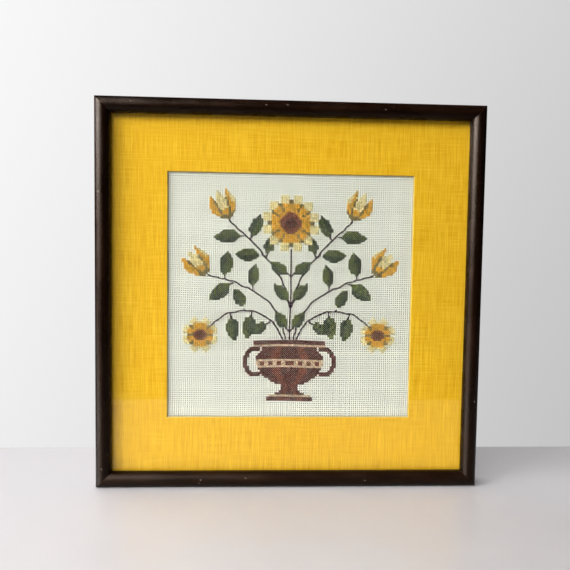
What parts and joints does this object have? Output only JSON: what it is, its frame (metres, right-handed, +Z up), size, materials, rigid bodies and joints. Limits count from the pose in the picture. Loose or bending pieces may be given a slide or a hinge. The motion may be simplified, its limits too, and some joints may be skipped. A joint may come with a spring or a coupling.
{
  "type": "needlework picture in a wooden frame",
  "caption": "Square cross-stitched cloth behind a golden linen window mat and glass, in a dark half-round wooden frame that stands on its lower edge or hangs flat on a wall.",
  "frame": {"origin": "on the floor, under the middle of the frame, half of its depth behind the crown of the moulding", "axes": "+X to the viewer's right, +Y back through the picture, +Z up"},
  "size_m": [0.3244, 0.024, 0.3244],
  "materials": {
    "frame_wood": "satin",
    "glazing": "gloss",
    "mat_linen": "matte",
    "mat_core": "matte",
    "ground_cloth": "matte",
    "thread_green": "satin",
    "thread_gold": "satin",
    "thread_brown": "satin",
    "backing": "matte"
  },
  "bodies": {
    "root": {"rail_bottom": "frame_wood", "rail_right": "frame_wood", "rail_top": "frame_wood", "rail_left": "frame_wood", "glass": "glazing", "mat": "mat_linen", "needlework_cloth": "ground_cloth", "backing_board": "backing"}
  },
  "joints": []
}
